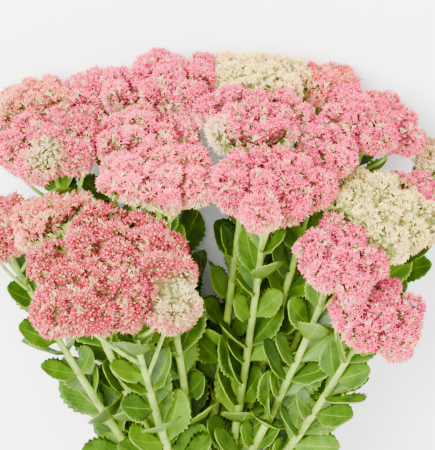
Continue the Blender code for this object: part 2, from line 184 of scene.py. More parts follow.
# The lamps: place and size, m, and power, W, and the point that they are turned to
LIGHTS = {"key_light": ((-0.7, 0.9, 1.7), 1.0, 165), "fill_light": ((1.2, -0.3, 1.5), 1.4, 38)}
LIT = Vector((0, 0.1, 0.1))
SKY_LIGHT = 3.0
FLOOR_HALF = 6

# The camera looks down on the flowers: its tilt, degrees, its distance, m, its target, mm, and its lens, mm
CAMERA_TILT = 22
CAMERA_FAR = 1.8
CAMERA_TARGET = Vector((10.7, 355.5, 110))
CAMERA_LENS, CAMERA_SENSOR = 158.4, 36


def linear(code):
    """A linear colour from its sRGB hex code."""
    shares = [int(code[k : k + 2], 16) / 255 for k in (1, 3, 5)]
    return tuple(s / 12.92 if s <= 0.04045 else ((s + 0.055) / 1.055) ** 2.4 for s in shares)


# Colours that the shades of the user's colours lean to
PETAL_TIP, YOUNG_TIP = linear("#FF6586"), linear("#FFAA90")
# The young fold colour below is also painted shade in the folds of young heads
CALYX, BED_GREEN, YOUNG_FOLD_AND_SHADE = linear("#617327"), linear("#3F5510"), linear("#868E3F")
# Painted shade in the gaps between the cells of the bed, on old and on young heads
GAP_SHADE, YOUNG_GAP_SHADE = linear("#3F2912"), linear("#656F30")
LEAF_SHADE, STEM_STREAK = linear("#193016"), linear("#FFFFCB")
BARK_SHADE, EARTH = linear("#271D12"), linear("#241B12")
ANTHER, OLD_ANTHER = linear("#6A3A3C"), linear("#4C2A22")


def color_property(name, code):
    """A colour that a user can change."""
    return FloatVectorProperty(name=name, default=linear(code), size=3, min=0, max=1, subtype="COLOR")


def length_property(name, default, description):
    """A length that a user can change."""
    return FloatProperty(name=name, description=description, default=default, min=0, unit="LENGTH")


class SEDUM_PG_sizes(bpy.types.PropertyGroup):
    """Sizes of the small parts that the solids leave out."""

    floret_radius: length_property("Floret radius", 0.0042, "From a floret's middle to a petal's tip")
    floret_spacing: length_property("Floret spacing", 0.0033, "Least distance between florets")
    pedicel_radius: length_property("Pedicel radius", 0.0006, "Radius of the last branches below a head")
    leaf_thickness: length_property("Leaf thickness", 0.0022, "Thickness of a fleshy blade")
    leaf_step: length_property("Leaf step", 0.026, "Distance between pairs of leaves on a stem")
    leaf_teeth: IntProperty(name="Leaf teeth", description="Teeth on each margin of a leaf", default=6, min=2)


class SEDUM_PG_colors(bpy.types.PropertyGroup):
    """Colours of the petals, the green parts and the crown."""

    rose: color_property("Dusty rose petals", "#A61E32")
    pink: color_property("Pink petals", "#EC1A74")
    deep_pink: color_property("Deep pink petals", "#E8086A")
    magenta_pink: color_property("Magenta pink petals", "#D01C5A")
    light_pink: color_property("Light pink petals", "#FA4476")
    salmon: color_property("Salmon petals", "#F24A50")
    peach: color_property("Peach petals", "#F28060")
    cream_pink: color_property("Cream pink petals", "#F8AE88")
    cream: color_property("Cream petals", "#FFDC74")
    bud: color_property("Buds and young carpels", "#DDDC8C")
    # This colour also paints shade where florets sink into folds or press against a neighbour head
    crease: color_property("Bed between old florets", "#84102C")
    leaf: color_property("Leaf's upper face", "#2A4C06")
    leaf_light: color_property("Young leaf in the light", "#6E9A08")
    leaf_under: color_property("Leaf's bloomed underside", "#506E14")
    leaf_rim: color_property("Leaf's margin and midrib", "#A4C418")
    stem: color_property("Fleshy stem", "#98B834")
    bark: color_property("Corky bark of the crown", "#6E5238")
    cut_wood: color_property("Freshly cut roots", "#C9AE82")
    floor: color_property("Pale floor", "#FEFEFD")


def seat_of(spec):
    """The point inside the crown where a stem starts."""
    column, row = spec.seat
    place = (column * SEAT_PITCH[0], SEAT_ALONG, SEAT_LOWEST + row * SEAT_PITCH[1])
    return Vector(place) * MM + SHIFT


def lobes_of(name, radius):
    """Centres, from the head's middle, and radii of the round clusters that make up its dome."""
    draw = random.Random(name)
    count = round(5 + radius / (8 * MM))
    turn = draw.uniform(0, math.tau)
    found = []
    for k in range(count):
        reach = LOBE_SPREAD * radius * math.sqrt((k + 0.3) / (count - 0.7))
        angle = turn + k * GOLDEN + draw.uniform(-0.18, 0.18)
        lift = LOBE_LIFT * radius * (1 - (reach / radius) ** 2) + draw.uniform(-0.05, 0.06) * radius
        size = LOBE_RADIUS * radius * draw.uniform(0.88, 1.14)
        found.append((Vector((reach * math.cos(angle), reach * math.sin(angle), lift)), size))
    return found


def way_out(head, angle):
    """The way square out from a head's axis at an angle."""
    return head.side * math.cos(angle) + head.across * math.sin(angle)


def all_heads():
    """Every head with its frame, its lobes and the planes that it stays behind."""
    found = []
    for name, spec in HEADS.items():
        middle = Vector(spec.place) * MM + SHIFT
        radius = spec.radius * MM
        axis = (middle - seat_of(spec)).normalized().lerp(ALONG_STEMS, UPRIGHT_SHARE).normalized()
        across = axis.cross(Vector((1, 0, 0))).normalized()
        side = across.cross(axis)
        planes = [(middle - axis * UNDERSIDE_DROP * radius, -axis), (Vector(), Vector((0, 0, -1)))]
        found.append(Head(name, middle, radius, axis, side, across, lobes_of(name, radius), planes))
    for head in found:
        for other in found:
            way = other.middle - head.middle
            if other is head or way.length > NEIGHBOUR_REACH * (head.radius + other.radius):
                continue
            share = (way.length_squared + head.radius**2 - other.radius**2) / (2 * way.length)
            direction = way.normalized()
            head.planes.append((head.middle + direction * (share - NEIGHBOUR_GAP * MM / 2), direction))
    routes = {head.name: stem_routes(head) for head in found}
    for head in found:
        for points in [points for name, lines in routes.items() if name != head.name for points, _ in lines]:
            near = nearest_on(points, head.middle)
            way = near - head.middle
            if way.length < STEM_REACH * head.radius:
                head.planes.append((near - way.normalized() * STEM_BERTH * MM, way.normalized()))
    return found


def nearest_on(points, place):
    """The point of a line of points that lies nearest to a place."""
    found = []
    for a, b in zip(points, points[1:]):
        share = max(0.0, min(1.0, (place - a).dot(b - a) / (b - a).length_squared))
        found.append(a.lerp(b, share))
    return min(found, key=lambda point: (point - place).length)


def plane_reach(head, ways):
    """How far rays from the head's middle run before they meet one of its planes."""
    points = np.array([point - head.middle for point, _ in head.planes])
    normals = np.array([normal for _, normal in head.planes])
    facing = ways @ normals.T
    limits = np.where(facing > 1e-6, (points * normals).sum(1) / np.maximum(facing, 1e-6), np.inf)
    return limits.min(1)


def lobe_reach(head, ways):
    """How far the same rays run before they leave the lobes, their small clusters and the core."""
    local = ways @ np.array([head.side, head.across, head.axis]).T
    flat = (local[:, 0] ** 2 + local[:, 1] ** 2) / CORE_ACROSS**2 + local[:, 2] ** 2 / CORE_TALL**2
    balls = [(centre, size * LOBE_SHARE) for centre, size in head.lobes]
    draw = random.Random(head.name + " clusters")
    for centre, size in head.lobes:
        for k in range(CLUSTERS):
            tilt = math.acos(1 - 1.1 * (k + 0.5) / CLUSTERS)
            turn = k * GOLDEN + draw.uniform(-0.4, 0.4)
            way = Vector((math.sin(tilt) * math.cos(turn), math.sin(tilt) * math.sin(turn), math.cos(tilt)))
            way = (way + centre / head.radius * CLUSTER_SPREAD).normalized()
            balls.append((centre + way * size * CLUSTER_OUT, size * draw.uniform(*CLUSTER_SIZES)))
    centres = np.array([centre for centre, _ in balls])
    sizes = np.array([size for _, size in balls])
    near = local @ centres.T
    inside = near**2 - (centres**2).sum(1) + sizes**2
    out = np.where(inside > 0, near + np.sqrt(np.maximum(inside, 0)), 0).max(1)
    out = np.maximum(head.radius / np.sqrt(flat) * CORE_SHARE, out)
    # The surface folds in where one lobe meets the next
    middles = np.array([centre for centre, _ in head.lobes])
    apart = np.linalg.norm(local[:, None] * out[:, None, None] - middles, axis=2)
    apart.sort(axis=1)
    lobe = LOBE_RADIUS * head.radius
    fold = np.clip(1 - (apart[:, 1] - apart[:, 0]) / (FOLD_WIDTH * lobe), 0, 1)
    return out - FOLD_DEPTH * lobe * fold**1.5


def dome_reach(head, ways):
    """How far the rays run to the dome's surface."""
    return np.minimum(lobe_reach(head, ways), plane_reach(head, ways))


def stem_line(head):
    """Start, bend and end of a stem: it ends square under its head."""
    start = seat_of(HEADS[head.name])
    end = head.middle - head.axis * (UNDERSIDE_DROP * head.radius + GAP)
    return start, end - head.axis * STEM_BEND * (end - start).length, end


def on_stem(line, share):
    """The point at a share of the stem's length, and the way that the stem runs there."""
    start, bend, end = line
    point = start * (1 - share) ** 2 + bend * 2 * share * (1 - share) + end * share**2
    return point, ((bend - start) * (1 - share) + (end - bend) * share).normalized()


def stem_length(line):
    """The length of the stem along its bend."""
    points = [on_stem(line, k / 24)[0] for k in range(25)]
    return sum((b - a).length for a, b in zip(points, points[1:]))


def stem_routes(head):
    """Points and radii of the stem, and of the stalks that leave it one after another for the outer lobes."""
    line = stem_line(head)
    length = stem_length(line)
    shares = (0, 0.25, 0.5, 0.75)
    points = [on_stem(line, share)[0] for share in shares]
    radii = [(STEM_RADIUS + (STEM_TOP_RADIUS - STEM_RADIUS) * share**1.5) * MM for share in shares]
    points += [line[2] - head.axis * STEM_NECK * MM, line[2]]
    radii += [STEM_TOP_RADIUS * MM] * 2
    found = [(points, radii)]
    turn = random.Random(head.name + " stalks").uniform(0, math.tau)
    for k, drop in enumerate(STALK_DROPS[: 2 + round(head.radius / (60 * MM))]):
        out = way_out(head, turn + k * GOLDEN)
        free = plane_reach(head, np.array([out]))[0]
        end = line[2] + out * min(STALK_SPREAD * head.radius, free - 3 * STALK_RADIUS * MM)
        fork = on_stem(line, 1 - drop * head.radius / (STALK_DROP_HEAD * length))[0]
        found.append(([fork, end - head.axis * STALK_NECK * MM, end], [STALK_RADIUS * MM] * 3))
    return found


def between(ends, share):
    """The value at a share of the way from the first end to the last."""
    return ends[0] + (ends[1] - ends[0]) * share


# How the solids' leaves and the leaves in between vary: the name of the draw, the ranges of size, pitch,
# turn and step, what stays free below the head, mm, and smaller or lifted ways to stand
Growth = namedtuple("Growth", "draw sizes pitches turns steps last ways")
SOLID_LEAVES = Growth(
    " leaves", (0.88, 1.1), (-7, 7), (-12, 12), (0.9, 1.1), 46, ((1.0, 0), (0.86, -12), (0.74, 12))
)
LEAVES_BETWEEN = Growth(
    " more leaves", (0.72, 1.05), (-14, 10), (-16, 16), (0.85, 1.15), 23,
    ((1.0, 0), (0.84, -14), (0.7, 10), (0.56, -22)),
)

# Of the leaves in between, none stands straight up from its lying stem, past this sine of its turn
MOST_UPRIGHT = 0.6
TO_THE_LIGHT = Vector((0, 0.3, 1))

# A broad young leaf low on a front stem: share of the stem, turn, pitch, size and lean to the light, with the
# smaller sizes and the turns aside that it may take
BROAD_LEAF_STEM, BROAD_LEAF = "right_low", (0.38, 12, 58, 64, 1.3)
BROAD_SHRINKS = (1.0, 0.93, 0.86, 0.8, 0.7, 0.6)
BROAD_ASIDES = (0, 8, -8, 16, 24, -16, 32)


def leaf_sites(head, line, growth, step, used=()):
    """For each leaf, the ways that it may stand: share of the stem, turn, pitch and size.

    Leaves in between keep off the nodes in use, and have a lean to the light too. A young one has a mark."""
    draw = random.Random(head.name + growth.draw)
    length = stem_length(line)
    between_nodes = growth is LEAVES_BETWEEN
    if between_nodes and head.name == BROAD_LEAF_STEM:
        share, turn, pitch, size, lean = BROAD_LEAF
        yield [
            (share, turn + aside, pitch, size * shrink * MM, lean, 1)
            for shrink in BROAD_SHRINKS
            for aside in BROAD_ASIDES
        ]
    distance = NODE_FIRST * MM + (step * draw.uniform(0.1, 0.6) if between_nodes else 0)
    turn = draw.uniform(0, 180)
    while distance < length - growth.last * MM:
        share = distance / length
        if all(abs(share - other) * length > 0.4 * step for other in used):
            size = between(LEAF_LENGTH, share) * draw.uniform(*growth.sizes) * MM
            pitch = between(LEAF_PITCH, share) + draw.uniform(*growth.pitches)
            for side in (0, 180):
                base = turn + side + draw.uniform(*growth.turns)
                lean = [draw.uniform(0.3, 1.5)] if between_nodes else []
                yield [
                    (share, base + aside, pitch + lift, size * shrink, *lean)
                    for shrink, lift in growth.ways
                    for aside in ASIDE_TURNS
                    if not lean or math.sin(math.radians(base + aside)) < MOST_UPRIGHT
                ]
        distance += step * draw.uniform(*growth.steps)
        turn += 90 + draw.uniform(-14, 14)


def leaf_frame(line, site):
    """A leaf's root on the stem, the way its blade leaves, the way its face looks, and the way across."""
    share, turn, pitch, _, *lean = site[:5]
    root, way = on_stem(line, share)
    right = (Vector((1, 0, 0)) - way * way.x).normalized()
    out = right * math.cos(math.radians(turn)) + right.cross(way) * math.sin(math.radians(turn))
    blade = way * math.cos(math.radians(pitch)) + out * math.sin(math.radians(pitch))
    face = way * math.sin(math.radians(pitch)) - out * math.cos(math.radians(pitch))
    if lean:
        face += TO_THE_LIGHT * lean[0]
        face = (face - blade * face.dot(blade)).normalized()
    return root, blade, face, blade.cross(face)


def mesh_from(bm, name):
    """A mesh with what was built, which is then freed."""
    mesh = bpy.data.meshes.new(name)
    bm.to_mesh(mesh)
    bm.free()
    return mesh


def floret_mesh():
    """An empty mesh to build on, with the four values of florets on its corners."""
    bm = bmesh.new()
    for value in FLORET_VALUES:
        bm.verts.layers.float.new(value)
    return bm


Ball = namedtuple("Ball", "mesh along around")


@functools.cache
def ball_of(sides, rings):
    """A ball to lay along a line, with each corner's share of the way from pole to pole and its turn."""
    bm = floret_mesh()
    bm.verts.layers.float_vector.new("blade")
    bmesh.ops.create_uvsphere(bm, u_segments=sides, v_segments=rings, radius=1)
    mesh = mesh_from(bm, "ball")
    corners = np.array([vert.co for vert in mesh.vertices])
    along = np.arccos(np.clip(corners[:, 2], -1, 1)) / math.pi
    around = corners[:, :2] / np.maximum(np.linalg.norm(corners[:, :2], axis=1), 1e-5)[:, None]
    around[(along < 1e-4) | (along > 1 - 1e-4)] = 0
    return Ball(mesh, along, around)


def add_ball(bm, ball, places, blade, tint, index):
    """Adds a copy of the ball with its corners at these places, no lower than the floor."""
    places[:, 2] = np.maximum(places[:, 2], LEAF_FLOOR)
    ball.mesh.vertices.foreach_set("co", places.ravel())
    ball.mesh.attributes["blade"].data.foreach_set("vector", blade.ravel())
    ball.mesh.attributes["tint"].data.foreach_set("value", [tint] * len(places))
    ball.mesh.polygons.foreach_set("material_index", [index] * len(ball.mesh.polygons))
    bm.from_mesh(ball.mesh)


# Width of a leaf at shares of its length, between which the margin runs smoothly
LEAF_SHARES = (0.0, 0.06, 0.14, 0.28, 0.42, 0.56, 0.68, 0.80, 0.90, 0.96, 1.0)
LEAF_WIDTHS = (0.0, 0.20, 0.34, 0.66, 0.92, 1.0, 0.97, 0.80, 0.52, 0.27, 0.0)

# Teeth lean forward along two thirds of the margin. The blade's edge ripples, and its cup is round here
TOOTH_DEPTH = 0.24
TOOTHED = (0.30, 0.97)
TEETH_TO_A_LENGTH = 1.5
RIPPLE = 0.6 * MM
RIPPLE_WAVES = 15
CUP_ROUND = 1.5 * MM


def leaf_into(bm, line, site, sizes, rings=28, sides=8, grow=0.0, start=0.0, tint=0.0):
    """Adds one cupped, toothed, fleshy leaf: a ball whose poles are the leaf's root and tip."""
    size = site[3]
    root, blade, face, wide = (np.array(part) for part in leaf_frame(line, site))
    ball = ball_of(sides, rings)
    across, up = ball.around[:, 0], ball.around[:, 1]
    along = ball.along
    half = np.interp(along, LEAF_SHARES, LEAF_WIDTHS)
    if grow == 0:
        # Each tooth widens slowly and ends in a short step back
        tooth = (along * sizes.leaf_teeth * TEETH_TO_A_LENGTH + 0.1) % 1.0
        toothed = (along > TOOTHED[0]) & (along < TOOTHED[1])
        half = half * (1 + TOOTH_DEPTH * (tooth - 0.5) * np.abs(across) ** 4 * toothed)
    far = start + along * (1 + grow / size - start)
    bow = (LEAF_CURL * far)[:, None]
    spine = root + (blade * np.sin(bow) + face * (1 - np.cos(bow))) * size / LEAF_CURL
    normal = face * np.cos(bow) - blade * np.sin(bow)
    edge = across * (half * LEAF_HALF_WIDTH * size + grow)
    cup = LEAF_CUP * (np.hypot(edge, CUP_ROUND) - CUP_ROUND) * half
    ripple = RIPPLE * across**2 * np.sin(along * RIPPLE_WAVES + site[1] * 0.05) * half
    thick = sizes.leaf_thickness * (0.9 + 0.9 * np.maximum(0, 0.4 - along))
    rise = cup + ripple + up * (thick / 2 + grow)
    places = spine + wide * edge[:, None] + normal * rise[:, None]
    add_ball(bm, ball, places, np.stack([along, across, up], 1), tint, 0)


def tube_into(bm, points, radii, sides, index):
    """Adds a closed tube through the points: a ball whose rings lie along the line."""
    ball = ball_of(sides, len(points) + 1)
    ring = np.clip(np.rint(ball.along * (len(points) + 1)).astype(int) - 1, 0, len(points) - 1)
    rights, fronts = [], []
    for k in range(len(points)):
        way = (points[min(k + 1, len(points) - 1)] - points[max(k - 1, 0)]).normalized()
        right = rights[-1] if rights else way.orthogonal()
        rights.append((right - way * right.dot(way)).normalized())
        fronts.append(rights[-1].cross(way))
    spread = np.array(rights)[ring] * ball.around[:, :1] + np.array(fronts)[ring] * ball.around[:, 1:]
    places = np.array(points)[ring] + spread * np.array(radii)[ring][:, None]
    blade = np.column_stack([ring / max(1, len(points) - 1), ball.around])
    add_ball(bm, ball, places, blade, 0.0, index)


def finish_mesh(bm, name, materials, nodes, slot, smooth=True):
    """Makes the finished piece, which rides on the clump in place of its solids."""
    bmesh.ops.recalc_face_normals(bm, faces=bm.faces)
    mesh = mesh_from(bm, name)
    mesh.polygons.foreach_set("use_smooth", [smooth] * len(mesh.polygons))
    for made in materials:
        mesh.materials.append(made)
    piece = bpy.data.objects.new(name, mesh)
    bpy.context.scene.collection.objects.link(piece)
    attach(piece, "root")
    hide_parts(*nodes)


def set_material(verts, index):
    """Gives the faces between these corners a material slot."""
    for face in {face for vert in verts for face in vert.link_faces}:
        face.material_index = index


def node(tree, kind, links=None, **settings):
    """Adds one shader node with its settings, and links or values for its inputs. Gives its outputs."""
    made = tree.nodes.new("ShaderNode" + kind)
    for key, value in settings.items():
        setattr(made, key, value)
    for key, source in (links or {}).items():
        if isinstance(source, bpy.types.NodeSocket):
            tree.links.new(source, made.inputs[key])
        else:
            made.inputs[key].default_value = source
    return made.outputs


def coated(tree, color, *coats):
    """Lays coats over a first colour. Each fades in, up to its share, as a value runs from low to high.

    A mix of colours keeps its colour inputs at 6 and 7 and its output at 2."""
    if isinstance(color, tuple):
        color = (*color, 1)
    for value, low, high, share, coat in coats:
        ends = {"Value": value, "From Min": low, "From Max": high, "To Max": share}
        fade = node(tree, "MapRange", ends, interpolation_type="SMOOTHSTEP")[0]
        color = node(tree, "Mix", {0: fade, 6: color, 7: (*coat, 1)}, data_type="RGBA")[2]
    return color


def new_material(name, roughness, specular):
    """A plant material with the constants on its shader's own sockets, and its tree."""
    made = bpy.data.materials.new(name)
    made.use_nodes = True
    shader = made.node_tree.nodes["Principled BSDF"]
    shader.inputs["Roughness"].default_value = roughness
    shader.inputs["Specular IOR Level"].default_value = specular
    shader.inputs["IOR"].default_value = 1.42
    return made, made.node_tree


def finished(made, color, height=None, depth=0.0, strength=1.0):
    """Links the colour, and a relief of this height and depth, to the material's shader."""
    tree = made.node_tree
    shader = tree.nodes["Principled BSDF"]
    tree.links.new(color, shader.inputs["Base Color"])
    if height:
        bump = node(tree, "Bump", {"Height": height, "Distance": depth, "Strength": strength})[0]
        tree.links.new(bump, shader.inputs["Normal"])
    return made


def toward(color, other, share):
    """A linear colour moved towards another."""
    return tuple(a + (b - a) * share for a, b in zip(color, other))


def is_young(name):
    """Whether a head of this colour is still young: it is green where the others are crimson."""
    return name.startswith("cream")


def fold_and_shade_color(name, colors):
    """The colour deep in a head, also used as painted shade where florets sink into folds or press against a
    neighbour head.
    """
    return YOUNG_FOLD_AND_SHADE if is_young(name) else tuple(colors.crease)


def petal_material(name, body, colors):
    """Sedum petals: satin, pale at their pointed tips and deeper at the heart, with painted shade where
    florets sink into folds or press against a neighbour head.
    """
    made, tree = new_material("petal_" + name, 0.5, 0.35)
    fold = fold_and_shade_color(name, colors)
    tip = toward(body, YOUNG_TIP if is_young(name) else PETAL_TIP, 0.6)
    along, tint, hollow, bloom = (
        node(tree, "Attribute", attribute_name=value)["Fac"] for value in FLORET_VALUES
    )
    color = coated(
        tree, toward(body, fold, 0.55),
        (along, 0.1, 0.55, 1, body),
        (along, 0.55, 1, 0.7, tip),
        (tint, 0, 1, 0.5, tip),
        (tint, 0, -1, 0.75, toward(body, fold, 0.6)),
        # Florets sunk in a fold or pressed against a neighbour head are darkened towards the fold colour:
        # painted shade
        (hollow, 0.1, 1, 0.8, toward(body, fold, 0.85)),
    )
    color = node(tree, "Mix", {0: bloom, 6: (*colors.bud, 1), 7: color}, data_type="RGBA")[2]
    return finished(made, coated(tree, color, (along, 0, -0.6, 0.85, toward(colors.bud, CALYX, 0.6))))


def bed_material(name, body, colors):
    """Between the florets: the tops of young calyces, 3.5 mm cells in crimson and green with dark gaps
    painted between the cells as shade; the bed's deep colour is partly its own and partly painted shade.
    """
    made, tree = new_material("flower_bed_" + name, 0.75, 0.2)
    place = node(tree, "TexCoord")["Object"]
    cells = node(tree, "TexVoronoi", {"Vector": place, "Scale": 1 / (3.5 * MM)})
    shades = node(tree, "SeparateXYZ", {0: cells["Color"]})[0]
    green = toward(colors.bud, BED_GREEN, 0.85)
    color = coated(tree, toward(body, fold_and_shade_color(name, colors), 0.7), (shades, 0.35, 0.9, 1, green))
    bloom = node(tree, "Attribute", attribute_name="bloom")["Fac"]
    young = (*toward(colors.bud, CALYX, 0.8), 1)
    color = node(tree, "Mix", {0: bloom, 6: young, 7: color}, data_type="RGBA")[2]
    # The dark lines between the cells are painted shade
    gap = YOUNG_GAP_SHADE if is_young(name) else GAP_SHADE
    color = coated(tree, color, (cells["Distance"], 0.3, 0.65, 0.7, gap))
    return finished(made, color, cells["Distance"], -3 * MM)


def plain_plant_material(name, color, other, roughness):
    """A small soft part in two tones, which drift over patches of about 6 mm."""
    made, tree = new_material(name, roughness, 0.3)
    place = node(tree, "TexCoord")["Object"]
    drift = node(tree, "TexNoise", {"Vector": place, "Scale": 1 / (6 * MM), "Detail": 3.0})[0]
    return finished(made, coated(tree, tuple(color), (drift, 0.35, 0.65, 1, other)))


def leaf_material(colors):
    """Fleshy sedum leaf: bloomed skin, pale margin and midrib, soft side veins, and a paler underside."""
    made, tree = new_material("fleshy_leaf", 0.45, 0.28)
    blade = node(tree, "Attribute", attribute_name="blade")["Vector"]
    parts = node(tree, "SeparateXYZ", {0: blade})
    tint = node(tree, "Attribute", attribute_name="tint")["Fac"]
    place = node(tree, "TexCoord")["Object"]
    across = node(tree, "Math", {0: parts[1]}, operation="ABSOLUTE")[0]
    # Side veins leave the midrib every 8 mm or so and sweep forward
    sweep = node(tree, "Math", {0: across, 1: -0.45, 2: parts[0]}, operation="MULTIPLY_ADD")[0]
    comb = node(tree, "Math", {0: sweep, 1: 52.0}, operation="MULTIPLY")[0]
    veins = node(tree, "Math", {0: comb}, operation="SINE")[0]
    cloud = node(tree, "TexNoise", {"Vector": place, "Scale": 1 / (14 * MM), "Detail": 4.0})[0]
    pores = node(tree, "TexNoise", {"Vector": place, "Scale": 1 / (1.1 * MM), "Detail": 2.0})[0]
    dark = toward(colors.leaf, LEAF_SHADE, 0.45)
    color = coated(
        tree, toward(colors.leaf, dark, 0.5),
        (cloud, 0.3, 0.7, 1, toward(colors.leaf, colors.leaf_light, 0.3)),
        (parts[2], 0.05, -0.25, 0.75, colors.leaf_under),
        (tint, 0, 1, 0.85, colors.leaf_light),
        (tint, 0, -1, 0.6, dark),
        (veins, 0.6, 1, 0.05, colors.leaf_rim),
        (pores, 0.55, 0.75, 0.07, colors.leaf_under),
        (across, 0.07, 0, 0.25, colors.leaf_rim),
        (across, 0.90, 1, 0.75, colors.leaf_rim),
    )
    relief = node(tree, "Math", {0: veins, 1: 0.06, 2: pores}, operation="MULTIPLY_ADD")[0]
    return finished(made, color, relief, 0.35 * MM, 0.5)


def stem_material(colors):
    """Fleshy stem: pale bloomed green, with fine lengthwise streaks and darker patches of some 18 mm."""
    made, tree = new_material("fleshy_stem", 0.45, 0.4)
    place = node(tree, "TexCoord")["Object"]
    stretched = node(tree, "Mapping", {"Vector": place, "Scale": (1, 0.08, 1)})[0]
    streaks = node(tree, "TexNoise", {"Vector": stretched, "Scale": 1 / (1.5 * MM), "Detail": 2.0})[0]
    patches = node(tree, "TexNoise", {"Vector": place, "Scale": 1 / (18 * MM), "Detail": 3.0})[0]
    color = coated(
        tree, toward(colors.stem, colors.leaf, 0.55),
        (patches, 0.35, 0.65, 1, colors.stem),
        (streaks, 0.45, 0.7, 0.3, toward(colors.stem, STEM_STREAK, 0.25)),
    )
    return finished(made, color, streaks, 0.3 * MM, 0.5)


def bark_material(colors):
    """Corky bark of a perennial crown: cracked every 5 mm or so, dull, with earth in the cracks."""
    made, tree = new_material("corky_bark", 0.9, 0.15)
    place = node(tree, "TexCoord")["Object"]
    spots = {"Vector": place, "Scale": 1 / (5 * MM)}
    cracks = node(tree, "TexVoronoi", spots, feature="DISTANCE_TO_EDGE")[0]
    grain = node(tree, "TexNoise", {"Vector": place, "Scale": 1 / (2 * MM), "Detail": 5.0})[0]
    color = coated(
        tree, toward(colors.bark, BARK_SHADE, 0.5),
        (grain, 0.35, 0.65, 1, colors.bark),
        (cracks, 0.12, 0, 0.8, EARTH),
    )
    height = node(tree, "Math", {0: cracks, 1: 1.5, 2: grain}, operation="MULTIPLY_ADD")[0]
    return finished(made, color, height, 1.5 * MM, 0.9)


# Reach of a petal's tip, its shoulder, the notch beside it and the next shoulder, which come round in this
# order. A floret that is still closing has no shoulders
OPEN_REACH = (1.0, 0.50, 0.24, 0.50)
CLOSED_REACH = (1.0, 0.34)
PETALS = 5

# How far the petals of each kind of floret rise, degrees
PETAL_RISES = {"star": 36, "cup": 58, "bud": 76}

# A petal's tip bends down and its shoulders up, radians. Heights and widths are shares of the floret's radius
TIP_DROP, SHOULDER_LIFT = 0.16, 0.10
HEART_HIGH, CALYX_LOW = 0.04, -0.95
CARPEL_HIGH, CARPEL_WIDE, CARPEL_WAIST = 0.60, 0.19, 0.26
ANTHER_OUT, ANTHER_HIGH, ANTHER_RADIUS = 0.52, 0.55, 0.10


def floret_template(name, rise, anthers):
    """A floret of radius 1 facing up: a thin star of pointed petals, its carpels, and perhaps anthers."""
    bm = floret_mesh()
    along = bm.verts.layers.float["along"]
    reaches = OPEN_REACH if name == "star" else CLOSED_REACH
    steps = len(reaches) * PETALS
    star = bmesh.ops.create_uvsphere(bm, u_segments=steps, v_segments=2, radius=1)["verts"]
    for vert in star:
        if abs(vert.co.z) > 0.5:
            # The lower pole draws the calyx down to its pedicel
            vert[along] = 0.0 if vert.co.z > 0 else -1.0
            vert.co = (0, 0, HEART_HIGH if vert.co.z > 0 else CALYX_LOW)
            continue
        angle = math.atan2(vert.co.y, vert.co.x)
        step = round(angle / math.tau * steps) % len(reaches)
        reach = reaches[step]
        lift = rise - (TIP_DROP if step == 0 else 0) + (SHOULDER_LIFT if step % 2 else 0)
        flat = reach * math.cos(lift)
        vert.co = (flat * math.cos(angle), flat * math.sin(angle), reach * math.sin(lift))
        vert[along] = reach
    carpels = bmesh.ops.create_uvsphere(bm, u_segments=PETALS, v_segments=2, radius=1)["verts"]
    for vert in carpels:
        if abs(vert.co.z) > 0.5:
            vert.co = (0, 0, CARPEL_HIGH if vert.co.z > 0 else 0)
        else:
            vert.co = (vert.co.x * CARPEL_WIDE, vert.co.y * CARPEL_WIDE, CARPEL_WAIST)
        vert[along] = 0.2
    set_material(carpels, 1)
    for k in range(PETALS if anthers else 0):
        angle = math.tau * (k + 0.5) / PETALS
        dot = bmesh.ops.create_uvsphere(bm, u_segments=3, v_segments=2, radius=ANTHER_RADIUS)["verts"]
        place = Vector((ANTHER_OUT * math.cos(angle), ANTHER_OUT * math.sin(angle), ANTHER_HIGH))
        bmesh.ops.translate(bm, verts=dot, vec=place)
        set_material(dot, 2)
    bmesh.ops.triangulate(bm, faces=bm.faces)
    mesh = mesh_from(bm, name)
    corners = np.empty(len(mesh.vertices) * 3)
    mesh.vertices.foreach_get("co", corners)
    return mesh, corners.reshape(-1, 3)


def dome_points(head, spacing):
    """Places and facings for florets, scattered evenly over the head's dome and round its rim.

    Also how far up they look, and how hard the head is pressed against another thing there."""
    count = round(TRIES_A_FLORET * (head.radius / spacing) ** 2)
    steps = np.arange(count) + 0.5
    down = np.arccos(1 - steps / count * (1 - math.cos(math.radians(DOME_EDGE))))
    turn = steps * GOLDEN
    local = np.stack([np.sin(down) * np.cos(turn), np.sin(down) * np.sin(turn), np.cos(down)], 1)
    basis = np.array([head.side, head.across, head.axis])
    ways = local @ basis
    lobes, planes = lobe_reach(head, ways), plane_reach(head, ways)
    points = ways * np.minimum(lobes, planes)[:, None]
    right = np.cross(ways, basis[2] + 0.3 * basis[0])
    right /= np.linalg.norm(right, axis=1)[:, None]
    up = np.cross(right, ways)
    near = []
    for aside in (right, up):
        turned = ways + FACING_STEP * aside
        turned /= np.linalg.norm(turned, axis=1)[:, None]
        near.append(turned * dome_reach(head, turned)[:, None] - points)
    facing = np.cross(near[0], near[1])
    facing *= np.sign((facing * ways).sum(1))[:, None]
    facing /= np.linalg.norm(facing, axis=1)[:, None]
    free = planes > lobes - HIDDEN_DEPTH
    pressed = np.clip(0.6 - (planes - lobes) / PRESSED_REACH, 0, 1)
    order = np.random.default_rng(len(head.name) * 7 + count).permutation(np.flatnonzero(free))
    taken, cells = [], {}
    for index in order:
        place = points[index]
        cell = tuple(np.floor(place / spacing).astype(int))
        close = (
            cells.get((cell[0] + i, cell[1] + j, cell[2] + k), ())
            for i in (-1, 0, 1) for j in (-1, 0, 1) for k in (-1, 0, 1)
        )
        if all(((points[other] - place) ** 2).sum() > spacing**2 for group in close for other in group):
            taken.append(index)
            cells.setdefault(cell, []).append(index)
    return points[taken] + np.array(head.middle), facing[taken], local[taken, 2], pressed[taken]


